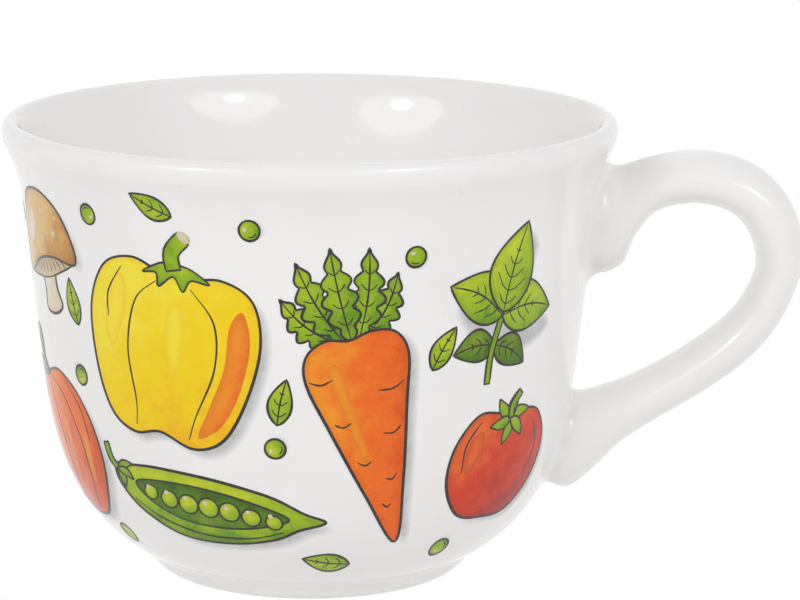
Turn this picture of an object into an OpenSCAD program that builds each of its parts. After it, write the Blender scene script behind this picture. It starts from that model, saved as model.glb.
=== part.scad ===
// A wide ceramic soup mug: a flared bowl on a foot ring, with a loop handle
// joined by slip at two places and vegetable transfers fired on the wall.
// Origin: centre of the foot on the table, +Z up, handle towards +X.

/* [Bowl] */
// Diameter over the lip
rim_d = 124; // [116:1:150]
// Height from the table to the top of the lip
bowl_h = 92.6; // [85:0.1:110]
// How far the lip stands out beyond the belly, which is a little over half way up
lip_flare = 6.6; // [5:0.1:10]
// How far the belly stands out beyond the crease where the bowl meets its foot ring
belly_flare = 21.7; // [16:0.1:28]
// Thickness of the wall
wall = 4; // [3:0.1:5]
// Thickness of the floor
floor_t = 4.2; // [3:0.1:6]
// Width of the rounded lip
lip_w = 3.6; // [3:0.1:5]
// Height of the rounding over the top of the lip
lip_top_h = 2.2; // [1.5:0.1:3]
// Depth of the rounding under the widest line of the lip
lip_under_h = 3.6; // [2.5:0.1:5]

/* [Foot ring] */
// Height of the foot ring
foot_h = 3.9; // [3:0.1:6]
// Width of the ring, from its inside to its outside
foot_w = 5; // [4:0.1:8]
// How far the side of the ring stands in from the crease
foot_inset = 1.2; // [0.6:0.1:2]
// Radius of the rounded outer edge that stands on the table
foot_round = 2.6; // [0.8:0.1:2.8]

/* [Handle] */
// Reach of the handle beyond the belly
handle_reach = 44.2; // [36:0.1:50]
// Height of the lowest point of the handle above the table
handle_low_z = 16.4; // [14:0.1:24]
// How far the top of the handle lies under the top of the lip
handle_drop = 6.1; // [5:0.1:9]
// Width of the grip, across the handle
grip_w = 15.6; // [12:0.1:20]
// Width of the lugs where the handle meets the wall
lug_w = 17.4; // [14:0.1:20]

/* [Handle joints] */
// Thickness of the slip between each lug and the wall
slip_t = 0.5; // [0.3:0.1:0.8]
// Reach of the hollow fillet of slip at the sides of a lug
fillet_side = 3; // [2:0.1:4]
// Reach of that fillet above and below a lug
fillet_end = 2.6; // [1:0.1:3.5]

/* [Transfers] */
// Thickness of the fired colour
film_t = 0.12; // [0.08:0.01:0.2]
// Size of the vegetables, as a share of the size drawn
motif_scale = 1; // [0.8:0.05:1.05]

/* [Hidden] */
$fn = 96;

glaze_colour = [0.95, 0.95, 0.94];
clay_colour = [0.9, 0.88, 0.84];
leaf_green = [0.45, 0.65, 0.12];
bright_orange = [0.93, 0.45, 0.1];
warm_red = [0.86, 0.2, 0.1];
corn_yellow = [0.95, 0.8, 0.15];
cream = [0.93, 0.85, 0.75];
pale_pink = [0.9, 0.55, 0.6];

// Radii and heights of the bowl
rim_r = rim_d / 2;
belly_r = rim_r - lip_flare;
base_r = belly_r - belly_flare;
belly_z = 0.55 * bowl_h;
lip_z = bowl_h - lip_top_h;
floor_z = foot_h + floor_t;

// The rounding of the lip begins at the first angle, under the widest line, and
// ends at the second one, past the top, where the inside of the wall begins
lip_turn = 48;
lip_end_turn = 130;
lip_steps = 5;
wall_steps = 12;

// Bezier handles of the wall, as shares of the radius and height of its stretch
low_wall_shares = [[0, 0], [0.83, 0.185], [0.908, 0.6], [1, 1]];
high_wall_shares = [[0, 0], [0.45, 0.684], [0.353, 0.79], [1, 1]];
inner_low_shares = [[0, 1], [0.01, 0.45], [0.14, 0], [0.55, 0]];
inner_high_shares = [[0, 0], [0.2, 0.5], [0.6, 0.924], [1, 1]];

// The hollow side of the foot ring, between its rounded edge and the crease
foot_side_shares = [[0, 0], [0, 0.36], [0.333, 0.693], [1, 1]];

function bezier(p, t) =
    (1 - t) ^ 3 * p[0] + 3 * (1 - t) ^ 2 * t * p[1] + 3 * (1 - t) * t ^ 2 * p[2] + t ^ 3 * p[3];

// Points of a Bezier whose handles are shares of the box between two corners
function stretch(from, to, shares, steps) = [
    for (i = [0:steps])
        let (p = bezier(shares, i / steps))
            [from.x + p.x * (to.x - from.x), from.y + p.y * (to.y - from.y)]
];

// The outside of the wall, from the crease at the foot up to the lip
lip_half = lip_w / 2;
lip_mid_r = rim_r - lip_half;
lip_start = [
    lip_mid_r + lip_half * cos(lip_turn),
    lip_z - lip_under_h * sin(lip_turn)
];
low_wall = stretch([base_r, foot_h], [belly_r, belly_z], low_wall_shares, wall_steps);
high_wall = stretch([belly_r, belly_z], lip_start, high_wall_shares, wall_steps);
lip_under = [
    for (i = [1:lip_steps])
        let (a = lip_turn * (1 - i / lip_steps))
            [lip_mid_r + lip_half * cos(a), lip_z - lip_under_h * sin(a)]
];
outside = concat(low_wall, [for (i = [1:wall_steps]) high_wall[i]], lip_under);

// Over the lip and down the inside to the middle of the floor
lip_top = [
    for (i = [1:2 * lip_steps])
        let (a = lip_end_turn * i / (2 * lip_steps))
            [lip_mid_r + lip_half * cos(a), lip_z + lip_top_h * sin(a)]
];
inner_belly = [belly_r - wall, belly_z];
inner_high = stretch(inner_belly, lip_top[2 * lip_steps - 1], inner_high_shares, wall_steps);
inner_low = stretch([inner_belly.x, floor_z], [0, inner_belly.y], inner_low_shares, wall_steps);
inside = concat(
    [for (i = [wall_steps - 1:-1:1]) inner_high[i]],
    inner_low,
    [[0, floor_z]]
);

// Outer radius of the wall at a height
wall_line = [for (p = outside) [p.y, p.x]];
function wall_r(z) = lookup(z, wall_line);

// The handle, station by station from the upper lug to the lower one. Each
// row gives the outer point and the inner point of the section, as shares of
// the reach beyond the belly and of the height of the handle.
handle_shares = [
    [[-0.216, 0.906], [-0.216, 0.634]],
    [[-0.079, 0.919], [-0.079, 0.639]],
    [[0.059, 0.937], [0.054, 0.643]],
    [[0.137, 0.948], [0.118, 0.646]],
    [[0.218, 0.965], [0.187, 0.677]],
    [[0.308, 0.983], [0.234, 0.75]],
    [[0.422, 0.997], [0.327, 0.824]],
    [[0.545, 1], [0.481, 0.85]],
    [[0.695, 0.982], [0.613, 0.839]],
    [[0.831, 0.933], [0.704, 0.806]],
    [[0.945, 0.842], [0.759, 0.75]],
    [[0.999, 0.719], [0.781, 0.693]],
    [[0.973, 0.619], [0.769, 0.64]],
    [[0.89, 0.5], [0.697, 0.553]],
    [[0.753, 0.394], [0.583, 0.481]],
    [[0.563, 0.301], [0.418, 0.405]],
    [[0.363, 0.22], [0.239, 0.341]],
    [[0.199, 0.148], [0.101, 0.306]],
    [[0.086, 0.075], [0.01, 0.289]],
    [[-0.045, 0.012], [-0.069, 0.286]],
    [[-0.115, 0.001], [-0.187, 0.287]],
    [[-0.303, 0.009], [-0.353, 0.288]]
];
last_station = len(handle_shares) - 1;

// The width of the sections, as a share of the way from grip to lug width
lug_shares = [
    1, 1, 1, 0.9, 0.6, 0.3, 0.1, 0, 0, 0, 0,
    0, 0, 0, 0, 0, 0.1, 0.4, 0.8, 1, 1, 1
];

handle_span = bowl_h - handle_drop - handle_low_z;
section_sides = 24;
handle_rings = 48;

// A smooth curve through rows of values, at s counted in rows
function smooth(rows, s) =
    let (
        last = len(rows) - 1,
        i = min(floor(s), last - 1),
        t = s - i,
        a = rows[max(i - 1, 0)],
        b = rows[i],
        c = rows[i + 1],
        d = rows[min(i + 2, last)]
    )
    b + (c - a) * t / 2 + (2 * a - 5 * b + 4 * c - d) * t ^ 2 / 2
        + (3 * b - 3 * c + d - a) * t ^ 3 / 2;

function station_point(share) =
    [belly_r + share.x * handle_reach, handle_low_z + share.y * handle_span];

outer_line = [for (row = handle_shares) station_point(row[0])];
inner_line = [for (row = handle_shares) station_point(row[1])];

// A point on the skin of the handle, at station s and an angle round the section
function handle_point(s, turn) =
    let (
        out = smooth(outer_line, s),
        in = smooth(inner_line, s),
        half_w = (grip_w + (lug_w - grip_w) * smooth(lug_shares, s)) / 2,
        p = (out + in) / 2 + (out - in) / 2 * cos(turn)
    )
    [p.x, half_w * sin(turn), p.y];

// Distance of a point from the axis, beyond the wall at its height
function off_wall(p) = norm([p.x, p.y]) - wall_r(p.z);

// The station where one line along the handle stands a distance off the wall,
// found between two stations by halving
function station_off(turn, gap, near, far, tries = 18) =
    let (mid = (near + far) / 2)
    tries == 0 ? mid
        : off_wall(handle_point(mid, turn)) > gap
            ? station_off(turn, gap, near, mid, tries - 1)
            : station_off(turn, gap, mid, far, tries - 1);

// Stations between which each end of the handle crosses the wall
upper_root = [0, 6];
lower_root = [last_station, last_station - 6];

turns = [for (j = [0:section_sides - 1]) 360 * j / section_sides];

// Angles round the section, in the order that faces a joint away from the wall
function joint_turns(root) = root[0] < root[1] ? turns : [for (a = turns) -a];

function ring_off(root, gap) =
    [for (a = joint_turns(root)) handle_point(station_off(a, gap, root[0], root[1]), a)];

// A point at a height and a distance to the side, a gap off the wall
function on_wall(y, z, gap) =
    let (r = wall_r(z) + gap)
    [sqrt(r ^ 2 - y ^ 2), y, z];

function mean(points) = [for (p = points) 1] * points / len(points);

// A ring drawn in towards the middle of a lug, a gap off the wall
function drawn_in(ring, share, gap) =
    let (c = mean(ring))
    [
        for (p = ring)
            on_wall(c.y + (p.y - c.y) * share, c.z + (p.z - c.z) * share, gap)
    ];

// How far the rings of a covered face are drawn in, and the share of its middle
face_shares = [0.75, 0.5, 0.25];

// A closed skin over rings of points, with a middle point at each end
module skin(rings, start, end) {
    n = len(rings[0]);
    count = len(rings);
    points = concat([start], [for (ring = rings) for (p = ring) p], [end]);
    last = len(points) - 1;
    sides = [
        for (k = [0:count - 2])
            for (j = [0:n - 1])
                let (a = 1 + k * n + j, b = 1 + k * n + (j + 1) % n)
                    each [[a, b, b + n], [a, b + n, a + n]]
    ];
    caps = [
        for (j = [0:n - 1])
            let (top = 1 + (count - 1) * n)
                each [
                    [0, 1 + (j + 1) % n, 1 + j],
                    [last, top + j, top + (j + 1) % n]
                ]
    ];
    polyhedron(points, concat(caps, sides), convexity = 6);
}

module bowl_profile() {
    polygon(concat([[0, foot_h]], outside, lip_top, inside));
}

module bowl() {
    color(glaze_colour) rotate_extrude() bowl_profile();
}

module foot_ring() {
    steps = 6;
    outer = base_r - foot_inset;
    inner = outer - foot_w;
    edge = [
        for (i = [0:steps])
            let (a = 90 * i / steps)
                [outer - foot_round * (1 - sin(a)), foot_round * (1 - cos(a))]
    ];
    side = stretch([outer, foot_round], [base_r, foot_h], foot_side_shares, steps);
    color(clay_colour)
        rotate_extrude()
            polygon(concat(
                [[inner, foot_h], [inner, 0]],
                edge,
                [for (i = [1:steps]) side[i]]
            ));
}

module handle() {
    root_gap = slip_t;
    starts = [for (a = turns) station_off(a, root_gap, upper_root[0], upper_root[1])];
    ends = [for (a = turns) station_off(a, root_gap, lower_root[0], lower_root[1])];
    body = [
        for (k = [0:handle_rings])
            [
                for (j = [0:section_sides - 1])
                    handle_point(starts[j] + (ends[j] - starts[j]) * k / handle_rings, turns[j])
            ]
    ];
    top_face = [for (i = [2:-1:0]) drawn_in(body[0], face_shares[i], root_gap)];
    low_face = [for (i = [0:2]) drawn_in(body[handle_rings], face_shares[i], root_gap)];
    color(glaze_colour)
        skin(
            concat(top_face, body, low_face),
            drawn_in([mean(body[0])], 1, root_gap)[0],
            drawn_in([mean(body[handle_rings])], 1, root_gap)[0]
        );
}

// A fillet of slip round a lug: it runs from the wall up the side of the lug
// in a hollow curve, with a thin bed of slip under the lug
module joint(root) {
    steps = 6;
    bed = ring_off(root, slip_t);
    crease = ring_off(root, 0);
    c = mean(crease);
    around = joint_turns(root);
    reach = [for (a = around) fillet_end + (fillet_side - fillet_end) * sin(a) ^ 2];
    foot = [
        for (j = [0:section_sides - 1])
            let (
                away = [crease[j].y - c.y, crease[j].z - c.z],
                step = away / norm(away) * reach[j]
            )
            on_wall(crease[j].y + step.x, crease[j].z + step.y, 0)
    ];
    head = [
        for (j = [0:section_sides - 1])
            handle_point(station_off(around[j], reach[j], root[0], root[1]), around[j])
    ];
    fillet = [
        for (i = [0:steps])
            let (t = i / steps)
                (1 - t) ^ 2 * foot + 2 * t * (1 - t) * crease + t ^ 2 * head
    ];
    under = [for (i = [2:-1:0]) drawn_in(foot, face_shares[i], 0)];
    over = [for (i = [0:2]) drawn_in(bed, face_shares[i], slip_t)];
    color(glaze_colour)
        skin(
            concat(under, fillet, [bed], over),
            drawn_in([mean(foot)], 1, 0)[0],
            drawn_in([mean(bed)], 1, slip_t)[0]
        );
}

module upper_handle_joint() {
    joint(upper_root);
}

module lower_handle_joint() {
    joint(lower_root);
}

// Outlines of the vegetables, as shares of their width and height
carrot_shares = [
    [0, -0.5], [0.18, -0.3], [0.36, -0.02], [0.42, 0.14], [0.26, 0.22], [0.5, 0.36],
    [0.38, 0.48], [0.12, 0.45], [-0.08, 0.5], [-0.34, 0.48], [-0.5, 0.38],
    [-0.24, 0.22], [-0.42, 0.14], [-0.36, -0.02], [-0.18, -0.3]
];
pepper_shares = [
    [0, -0.46], [0.2, -0.5], [0.36, -0.42], [0.46, -0.2], [0.5, 0.06], [0.44, 0.26],
    [0.28, 0.33], [0.1, 0.31], [0.12, 0.42], [0.06, 0.5], [-0.04, 0.44], [-0.06, 0.32],
    [-0.24, 0.34], [-0.42, 0.26], [-0.5, 0.04], [-0.44, -0.24], [-0.32, -0.44], [-0.16, -0.5]
];
pea_pod_shares = [
    [-0.5, 0.35], [-0.4, 0.3], [-0.2, 0.42], [0.05, 0.46], [0.28, 0.38], [0.5, 0.1],
    [0.34, -0.2], [0.12, -0.44], [-0.1, -0.5], [-0.3, -0.3], [-0.42, 0.05]
];
pumpkin_shares = [
    [0, -0.42], [0.16, -0.5], [0.34, -0.46], [0.48, -0.24], [0.5, 0], [0.42, 0.2],
    [0.26, 0.3], [0.1, 0.28], [0.08, 0.4], [0.14, 0.5], [0, 0.5], [-0.06, 0.28],
    [-0.2, 0.31], [-0.4, 0.22], [-0.5, 0], [-0.48, -0.24], [-0.34, -0.46], [-0.16, -0.5]
];
tomato_shares = [
    [0, -0.5], [0.28, -0.46], [0.48, -0.2], [0.5, 0.1], [0.32, 0.34], [0.1, 0.37],
    [0.1, 0.5], [-0.02, 0.42], [-0.14, 0.37], [-0.34, 0.32], [-0.5, 0.08],
    [-0.48, -0.22], [-0.28, -0.46]
];
basil_shares = [
    [0, -0.5], [0.06, -0.2], [0.3, -0.22], [0.5, -0.04], [0.4, 0.1], [0.12, 0.02],
    [0.2, 0.22], [0.14, 0.42], [0, 0.5], [-0.14, 0.42], [-0.2, 0.22], [-0.12, 0.02],
    [-0.4, 0.12], [-0.5, -0.02], [-0.3, -0.2], [-0.06, -0.2]
];
broccoli_shares = [
    [-0.12, -0.5], [0.12, -0.5], [0.12, -0.22], [0.3, -0.18], [0.46, -0.06], [0.5, 0.12],
    [0.42, 0.28], [0.28, 0.4], [0.12, 0.48], [-0.1, 0.5], [-0.28, 0.42], [-0.42, 0.3],
    [-0.5, 0.1], [-0.44, -0.08], [-0.28, -0.18], [-0.1, -0.22]
];
mushroom_shares = [
    [-0.14, -0.5], [0.14, -0.5], [0.13, -0.14], [0.4, -0.16], [0.5, -0.02], [0.4, 0.28],
    [0.18, 0.46], [-0.02, 0.5], [-0.22, 0.46], [-0.42, 0.26], [-0.5, -0.02],
    [-0.4, -0.16], [-0.13, -0.14]
];
onion_shares = [
    [0, -0.5], [0.2, -0.44], [0.44, -0.24], [0.5, -0.02], [0.36, 0.18], [0.12, 0.3],
    [0.08, 0.5], [-0.06, 0.5], [-0.12, 0.3], [-0.36, 0.18], [-0.5, -0.02],
    [-0.44, -0.24], [-0.2, -0.44]
];
radish_shares = [
    [0, -0.5], [0.06, -0.34], [0.36, -0.22], [0.48, -0.06], [0.36, 0.06], [0.14, 0.12],
    [0.4, 0.28], [0.46, 0.44], [0.18, 0.42], [0, 0.3], [-0.14, 0.5], [-0.44, 0.46],
    [-0.36, 0.26], [-0.12, 0.12], [-0.36, 0.06], [-0.48, -0.06], [-0.36, -0.22], [-0.06, -0.34]
];
corn_shares = [
    [0, -0.5], [0.24, -0.44], [0.44, -0.26], [0.5, 0], [0.32, 0.12], [0.28, 0.3],
    [0.14, 0.46], [0, 0.5], [-0.14, 0.46], [-0.28, 0.3], [-0.32, 0.12], [-0.5, 0],
    [-0.44, -0.26], [-0.24, -0.44]
];
chilli_shares = [
    [-0.5, -0.14], [-0.3, -0.42], [0, -0.5], [0.26, -0.3], [0.4, 0], [0.5, 0.34],
    [0.42, 0.5], [0.3, 0.34], [0.18, 0.12], [0, 0], [-0.24, -0.04], [-0.42, -0.08]
];

leaf_shares = [
    [0, -0.5], [0.34, -0.24], [0.5, 0.04], [0.3, 0.32], [0, 0.5], [-0.3, 0.32],
    [-0.5, 0.04], [-0.34, -0.24]
];

// Size of each vegetable as drawn: width as a share of the radius of the lip,
// and height as a share of the height of the bowl
carrot_size_shares = [0.387, 0.67];
pepper_size_shares = [0.6, 0.45];
pea_pod_size_shares = [0.742, 0.162];
pumpkin_size_shares = [0.71, 0.4];
tomato_size_shares = [0.42, 0.28];
basil_size_shares = [0.452, 0.346];
broccoli_size_shares = [0.597, 0.454];
mushroom_size_shares = [0.419, 0.27];
onion_size_shares = [0.452, 0.4];
radish_size_shares = [0.371, 0.454];
corn_size_shares = [0.371, 0.518];
chilli_size_shares = [0.71, 0.173];
leaf_size_shares = [0.075, 0.1];

// Radius of a loose pea, as a share of the radius of the lip
pea_share = 0.032;

// Where the loose peas lie: angle round the mug, and share of the wall height
pea_place_shares = [
    [-64, 0.8], [-95, 0.86], [-91, 0.4], [-50, 0.14], [-138, 0.5], [-130, 0.86],
    [-168, 0.8], [-137, 0.14], [-196, 0.28], [-212, 0.8], [-248, 0.37], [-262, 0.82],
    [-296, 0.3], [-300, 0.8]
];

// Where the loose leaves lie, and the angle that each is turned
leaf_place_shares = [
    [-89.5, 0.5, -12], [-57, 0.6, -30], [-80, 0.13, 80], [-114, 0.9, 65], [-138, 0.66, 12],
    [-188, 0.16, 70], [-217, 0.68, 20], [-236, 0.13, 60], [-296, 0.6, 20], [-318, 0.9, 75]
];

// A closed curve through the points of an outline, drawn at its size
function outline(points, size_shares) =
    let (
        n = len(points),
        steps = 3,
        w = size_shares.x * rim_r * motif_scale,
        h = size_shares.y * bowl_h * motif_scale
    )
    [
        for (i = [0:n - 1])
            let (four = [for (k = [-1:2]) points[(i + k + n) % n]])
                for (k = [0:steps - 1])
                    let (p = smooth(four, 1 + k / steps))
                        [p.x * w, p.y * h]
    ];

// Height of a place on the wall, from a share of the height of the bowl
function band_z(share) = share * bowl_h;

// The film of colour that lies on the wall inside a drawing. The drawing is
// laid on the wall at an angle round the mug, with its middle at a height.
module film(angle, z, tilt = 0) {
    intersection() {
        rotate_extrude()
            polygon(concat(
                outside,
                [for (i = [len(outside) - 1:-1:0]) outside[i] + [film_t, 0]]
            ));
        rotate([0, 0, angle])
            translate([0, 0, z])
                rotate([90, 0, 90])
                    linear_extrude(rim_r)
                        rotate(tilt) children();
    }
}

module carrot_transfer() {
    color(bright_orange)
        film(-73, band_z(0.5), 14) polygon(outline(carrot_shares, carrot_size_shares));
}

module pepper_transfer() {
    color(corn_yellow)
        film(-113, band_z(0.62), -8) polygon(outline(pepper_shares, pepper_size_shares));
}

module pea_pod_transfer() {
    color(leaf_green)
        film(-108, band_z(0.25), -8) polygon(outline(pea_pod_shares, pea_pod_size_shares));
}

module pumpkin_transfer() {
    color(bright_orange)
        film(-160, band_z(0.36), 4) polygon(outline(pumpkin_shares, pumpkin_size_shares));
}

// Two tomatoes, one on each side of the handle
module tomato_transfer() {
    color(warm_red)
        for (angle = [-39, 42])
            film(angle, band_z(0.34), -6) polygon(outline(tomato_shares, tomato_size_shares));
}

// Two sprigs, one on each side of the handle
module basil_transfer() {
    color(leaf_green)
        for (side = [[-43, -14], [42, 16]])
            film(side[0], band_z(0.68), side[1]) polygon(outline(basil_shares, basil_size_shares));
}

module broccoli_transfer() {
    color(leaf_green)
        film(-190, band_z(0.62), 6) polygon(outline(broccoli_shares, broccoli_size_shares));
}

module mushroom_transfer() {
    color(cream)
        film(-149, band_z(0.75), 12) polygon(outline(mushroom_shares, mushroom_size_shares));
}

module onion_transfer() {
    color(corn_yellow)
        film(-240, band_z(0.66), -10) polygon(outline(onion_shares, onion_size_shares));
}

module radish_transfer() {
    color(pale_pink)
        film(-218, band_z(0.36), -12) polygon(outline(radish_shares, radish_size_shares));
}

module corn_transfer() {
    color(corn_yellow)
        film(-276, band_z(0.6), 16) polygon(outline(corn_shares, corn_size_shares));
}

module chilli_transfer() {
    color(warm_red)
        film(-256, band_z(0.22), 8) polygon(outline(chilli_shares, chilli_size_shares));
}

module loose_peas_transfer() {
    color(leaf_green)
        for (place = pea_place_shares)
            film(place[0], band_z(place[1])) circle(rim_r * pea_share * motif_scale, $fn = 24);
}

module loose_leaves_transfer() {
    color(leaf_green)
        for (place = leaf_place_shares)
            film(place[0], band_z(place[1]), place[2])
                polygon(outline(leaf_shares, leaf_size_shares));
}

bowl();
foot_ring();
handle();
upper_handle_joint();
lower_handle_joint();
carrot_transfer();
pepper_transfer();
pea_pod_transfer();
pumpkin_transfer();
tomato_transfer();
basil_transfer();
broccoli_transfer();
mushroom_transfer();
onion_transfer();
radish_transfer();
corn_transfer();
chilli_transfer();
loose_peas_transfer();
loose_leaves_transfer();
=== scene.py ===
"""A wide glazed soup mug with vegetable transfers, on a pale floor in soft studio light."""
import math

import bpy
import numpy as np
from mathutils import Euler, Matrix, Vector
from mathutils.geometry import delaunay_2d_cdt


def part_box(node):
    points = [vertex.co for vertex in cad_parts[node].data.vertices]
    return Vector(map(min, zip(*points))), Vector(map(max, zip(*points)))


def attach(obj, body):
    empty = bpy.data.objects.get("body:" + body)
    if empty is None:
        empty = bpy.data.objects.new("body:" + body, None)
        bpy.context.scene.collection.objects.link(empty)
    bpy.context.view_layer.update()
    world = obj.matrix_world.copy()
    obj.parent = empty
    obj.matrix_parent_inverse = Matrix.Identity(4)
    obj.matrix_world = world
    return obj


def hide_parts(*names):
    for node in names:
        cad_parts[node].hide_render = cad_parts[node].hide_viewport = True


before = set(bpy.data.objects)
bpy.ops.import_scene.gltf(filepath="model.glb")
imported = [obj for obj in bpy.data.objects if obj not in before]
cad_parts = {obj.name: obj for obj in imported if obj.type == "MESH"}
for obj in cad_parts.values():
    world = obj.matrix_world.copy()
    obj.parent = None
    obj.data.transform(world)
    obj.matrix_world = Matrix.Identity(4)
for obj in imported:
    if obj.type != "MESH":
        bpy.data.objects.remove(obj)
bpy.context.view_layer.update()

MM = 0.001
scene = bpy.context.scene

# Sizes of the mug, in metres. What the frame's boxes give is read from them.
bowl_low, bowl_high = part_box("bowl")
RIM_R = -bowl_low.x
BOWL_H = bowl_high.z
FOOT_H = bowl_low.z
BELLY_R = 55.4 * MM
BELLY_Z = 0.55 * BOWL_H
BASE_R = 33.7 * MM
WALL = 4 * MM
FLOOR_Z = FOOT_H + 4.2 * MM
LIP_W = 3.6 * MM
LIP_TOP_H = 2.2 * MM
LIP_UNDER_H = 3.6 * MM
LIP_TURN = math.radians(48)
LIP_END_TURN = math.radians(130)
FOOT_INNER_R = BASE_R - 6.2 * MM
HANDLE_REACH = 44.16 * MM
HANDLE_SPAN = 70.1 * MM
HANDLE_LOW_Z = 16.4 * MM
GRIP_W = 15.6 * MM
LUG_W = 17.4 * MM
SLIP_T = 0.5 * MM
FILLET_SIDE = 4.6 * MM
UPPER_FILLET_END = 4.4 * MM
LOWER_FILLET_END = 1.8 * MM


# Curves

def circle(sides):
    """Points round a circle of radius one."""
    turn = np.linspace(0, 2 * math.pi, sides, endpoint=False)
    return np.column_stack([np.cos(turn), np.sin(turn)])


def steps_after(start, end, steps):
    """Even steps from a start, which is left out, to an end."""
    return np.linspace(start, end, steps + 1)[1:]


def bezier(p, t):
    """Points of a cubic Bezier at the values t."""
    p = np.asarray(p, float)
    t = np.asarray(t, float)[:, None]
    return (1 - t) ** 3 * p[0] + 3 * (1 - t) ** 2 * t * p[1] + 3 * (1 - t) * t ** 2 * p[2] + t ** 3 * p[3]


def stretch(start, end, shares, steps):
    """A Bezier whose handles are shares of the box between two corners."""
    start, end = np.asarray(start, float), np.asarray(end, float)
    return start + bezier(shares, np.linspace(0, 1, steps + 1)) * (end - start)


def smooth(rows, s):
    """A smooth curve through rows of values, at s counted in rows."""
    rows = np.asarray(rows, float)
    s = np.asarray(s, float)
    i = np.clip(np.floor(s).astype(int), 0, len(rows) - 2)
    t = (s - i).reshape(s.shape + (1,) * (rows.ndim - 1))
    a = rows[np.maximum(i - 1, 0)]
    b = rows[i]
    c = rows[i + 1]
    d = rows[np.minimum(i + 2, len(rows) - 1)]
    square = (2 * a - 5 * b + 4 * c - d) * t ** 2
    cube = (3 * b - 3 * c + d - a) * t ** 3
    return b + (c - a) * t / 2 + square / 2 + cube / 2


def closed_curve(points, steps=6):
    """A smooth closed curve through points."""
    points = list(points)
    wrapped = [points[-1], *points, *points[:2]]
    return smooth(wrapped, 1 + np.arange(len(points) * steps) / steps)


def open_curve(points, steps=6):
    """A smooth open curve through points."""
    count = (len(points) - 1) * steps
    return smooth(points, np.linspace(0, len(points) - 1, count + 1))


# The turned profile of the bowl, as radius and height

LOW_WALL_SHARES = [[0, 0], [0.83, 0.185], [0.908, 0.6], [1, 1]]
HIGH_WALL_SHARES = [[0, 0], [0.45, 0.684], [0.353, 0.79], [1, 1]]
INNER_LOW_SHARES = [[0, 1], [0.01, 0.45], [0.14, 0], [0.55, 0]]
INNER_HIGH_SHARES = [[0, 0], [0.2, 0.5], [0.6, 0.924], [1, 1]]
LONG_CURVE_STEPS = 48
SHORT_CURVE_STEPS = 40
LIP_UNDER_STEPS = 12
LIP_TOP_STEPS = 20

lip_half = LIP_W / 2
lip_mid_r = RIM_R - lip_half
lip_z = BOWL_H - LIP_TOP_H
inner_belly_r = BELLY_R - WALL


def lip_arc(turns, height):
    """A part of the lip's rounding. The height is negative under the widest line."""
    return np.stack([lip_mid_r + lip_half * np.cos(turns), lip_z + height * np.sin(turns)], 1)


lip_under = lip_arc(np.linspace(LIP_TURN, 0, LIP_UNDER_STEPS + 1), -LIP_UNDER_H)
lip_top = lip_arc(steps_after(0, LIP_END_TURN, LIP_TOP_STEPS), LIP_TOP_H)
low_wall = stretch((BASE_R, FOOT_H), (BELLY_R, BELLY_Z), LOW_WALL_SHARES, LONG_CURVE_STEPS)
high_wall = stretch((BELLY_R, BELLY_Z), lip_under[0], HIGH_WALL_SHARES, SHORT_CURVE_STEPS)
outside = np.vstack([low_wall, high_wall[1:], lip_under[1:]])
inner_high = stretch((inner_belly_r, BELLY_Z), lip_top[-1], INNER_HIGH_SHARES, LONG_CURVE_STEPS)
inner_low = stretch((inner_belly_r, FLOOR_Z), (0, BELLY_Z), INNER_LOW_SHARES, SHORT_CURVE_STEPS)
inside = np.vstack([inner_high[-2::-1], inner_low[1:]])


def wall_r(z):
    """Outer radius of the wall at a height."""
    return np.interp(z, outside[:, 1], outside[:, 0])


def wall_slope(z):
    """How fast the outer radius grows with height."""
    step = 0.2 * MM
    return (wall_r(z + step) - wall_r(z - step)) / (2 * step)


def on_wall(y, z, gap=0.0):
    """Points at a height and a distance to the side of +X, a gap off the wall."""
    y, z = np.asarray(y, float), np.asarray(z, float)
    r = wall_r(z) + gap
    return np.stack([np.sqrt(r ** 2 - y ** 2), y, z + 0 * y], -1)


# Mesh building

SHARP_TURN = math.radians(50)


def make_object(name, verts, faces, materials, indices=None, normals=None):
    """A mesh object that rides on the mug."""
    mesh = bpy.data.meshes.new(name)
    mesh.from_pydata([tuple(v) for v in verts], [], faces)
    for material in materials:
        mesh.materials.append(material)
    if indices is not None:
        mesh.polygons.foreach_set("material_index", indices)
    mesh.polygons.foreach_set("use_smooth", [True] * len(mesh.polygons))
    mesh.validate()
    if normals is None:
        mesh.set_sharp_from_angle(angle=SHARP_TURN)
    else:
        mesh.normals_split_custom_set_from_vertices([tuple(n) for n in normals])
    mesh.update()
    obj = bpy.data.objects.new(name, mesh)
    scene.collection.objects.link(obj)
    return obj


def mark(obj, name, values):
    """A value for each vertex, that the material reads."""
    layer = obj.data.attributes.new(name, "FLOAT", "POINT")
    layer.data.foreach_set("value", np.asarray(values, np.float32))


def revolve(profile, sides, closed):
    """Vertices and faces of a turned form. An open profile starts and ends on the axis."""
    ring = circle(sides)
    body = profile if closed else profile[1:-1]
    verts = np.vstack([np.column_stack([ring * r, np.full(sides, z)]) for r, z in body])
    rows = len(body)
    faces = []
    for k in range(rows if closed else rows - 1):
        low, high = k * sides, (k + 1) % rows * sides
        for j in range(sides):
            n = (j + 1) % sides
            faces.append((low + j, low + n, high + n, high + j))
    if not closed:
        first, last = len(verts), len(verts) + 1
        verts = np.vstack([verts, [(0, 0, profile[0][1]), (0, 0, profile[-1][1])]])
        top = (rows - 1) * sides
        for j in range(sides):
            n = (j + 1) % sides
            faces.append((first, n, j))
            faces.append((last, top + j, top + n))
    return verts, faces


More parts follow.
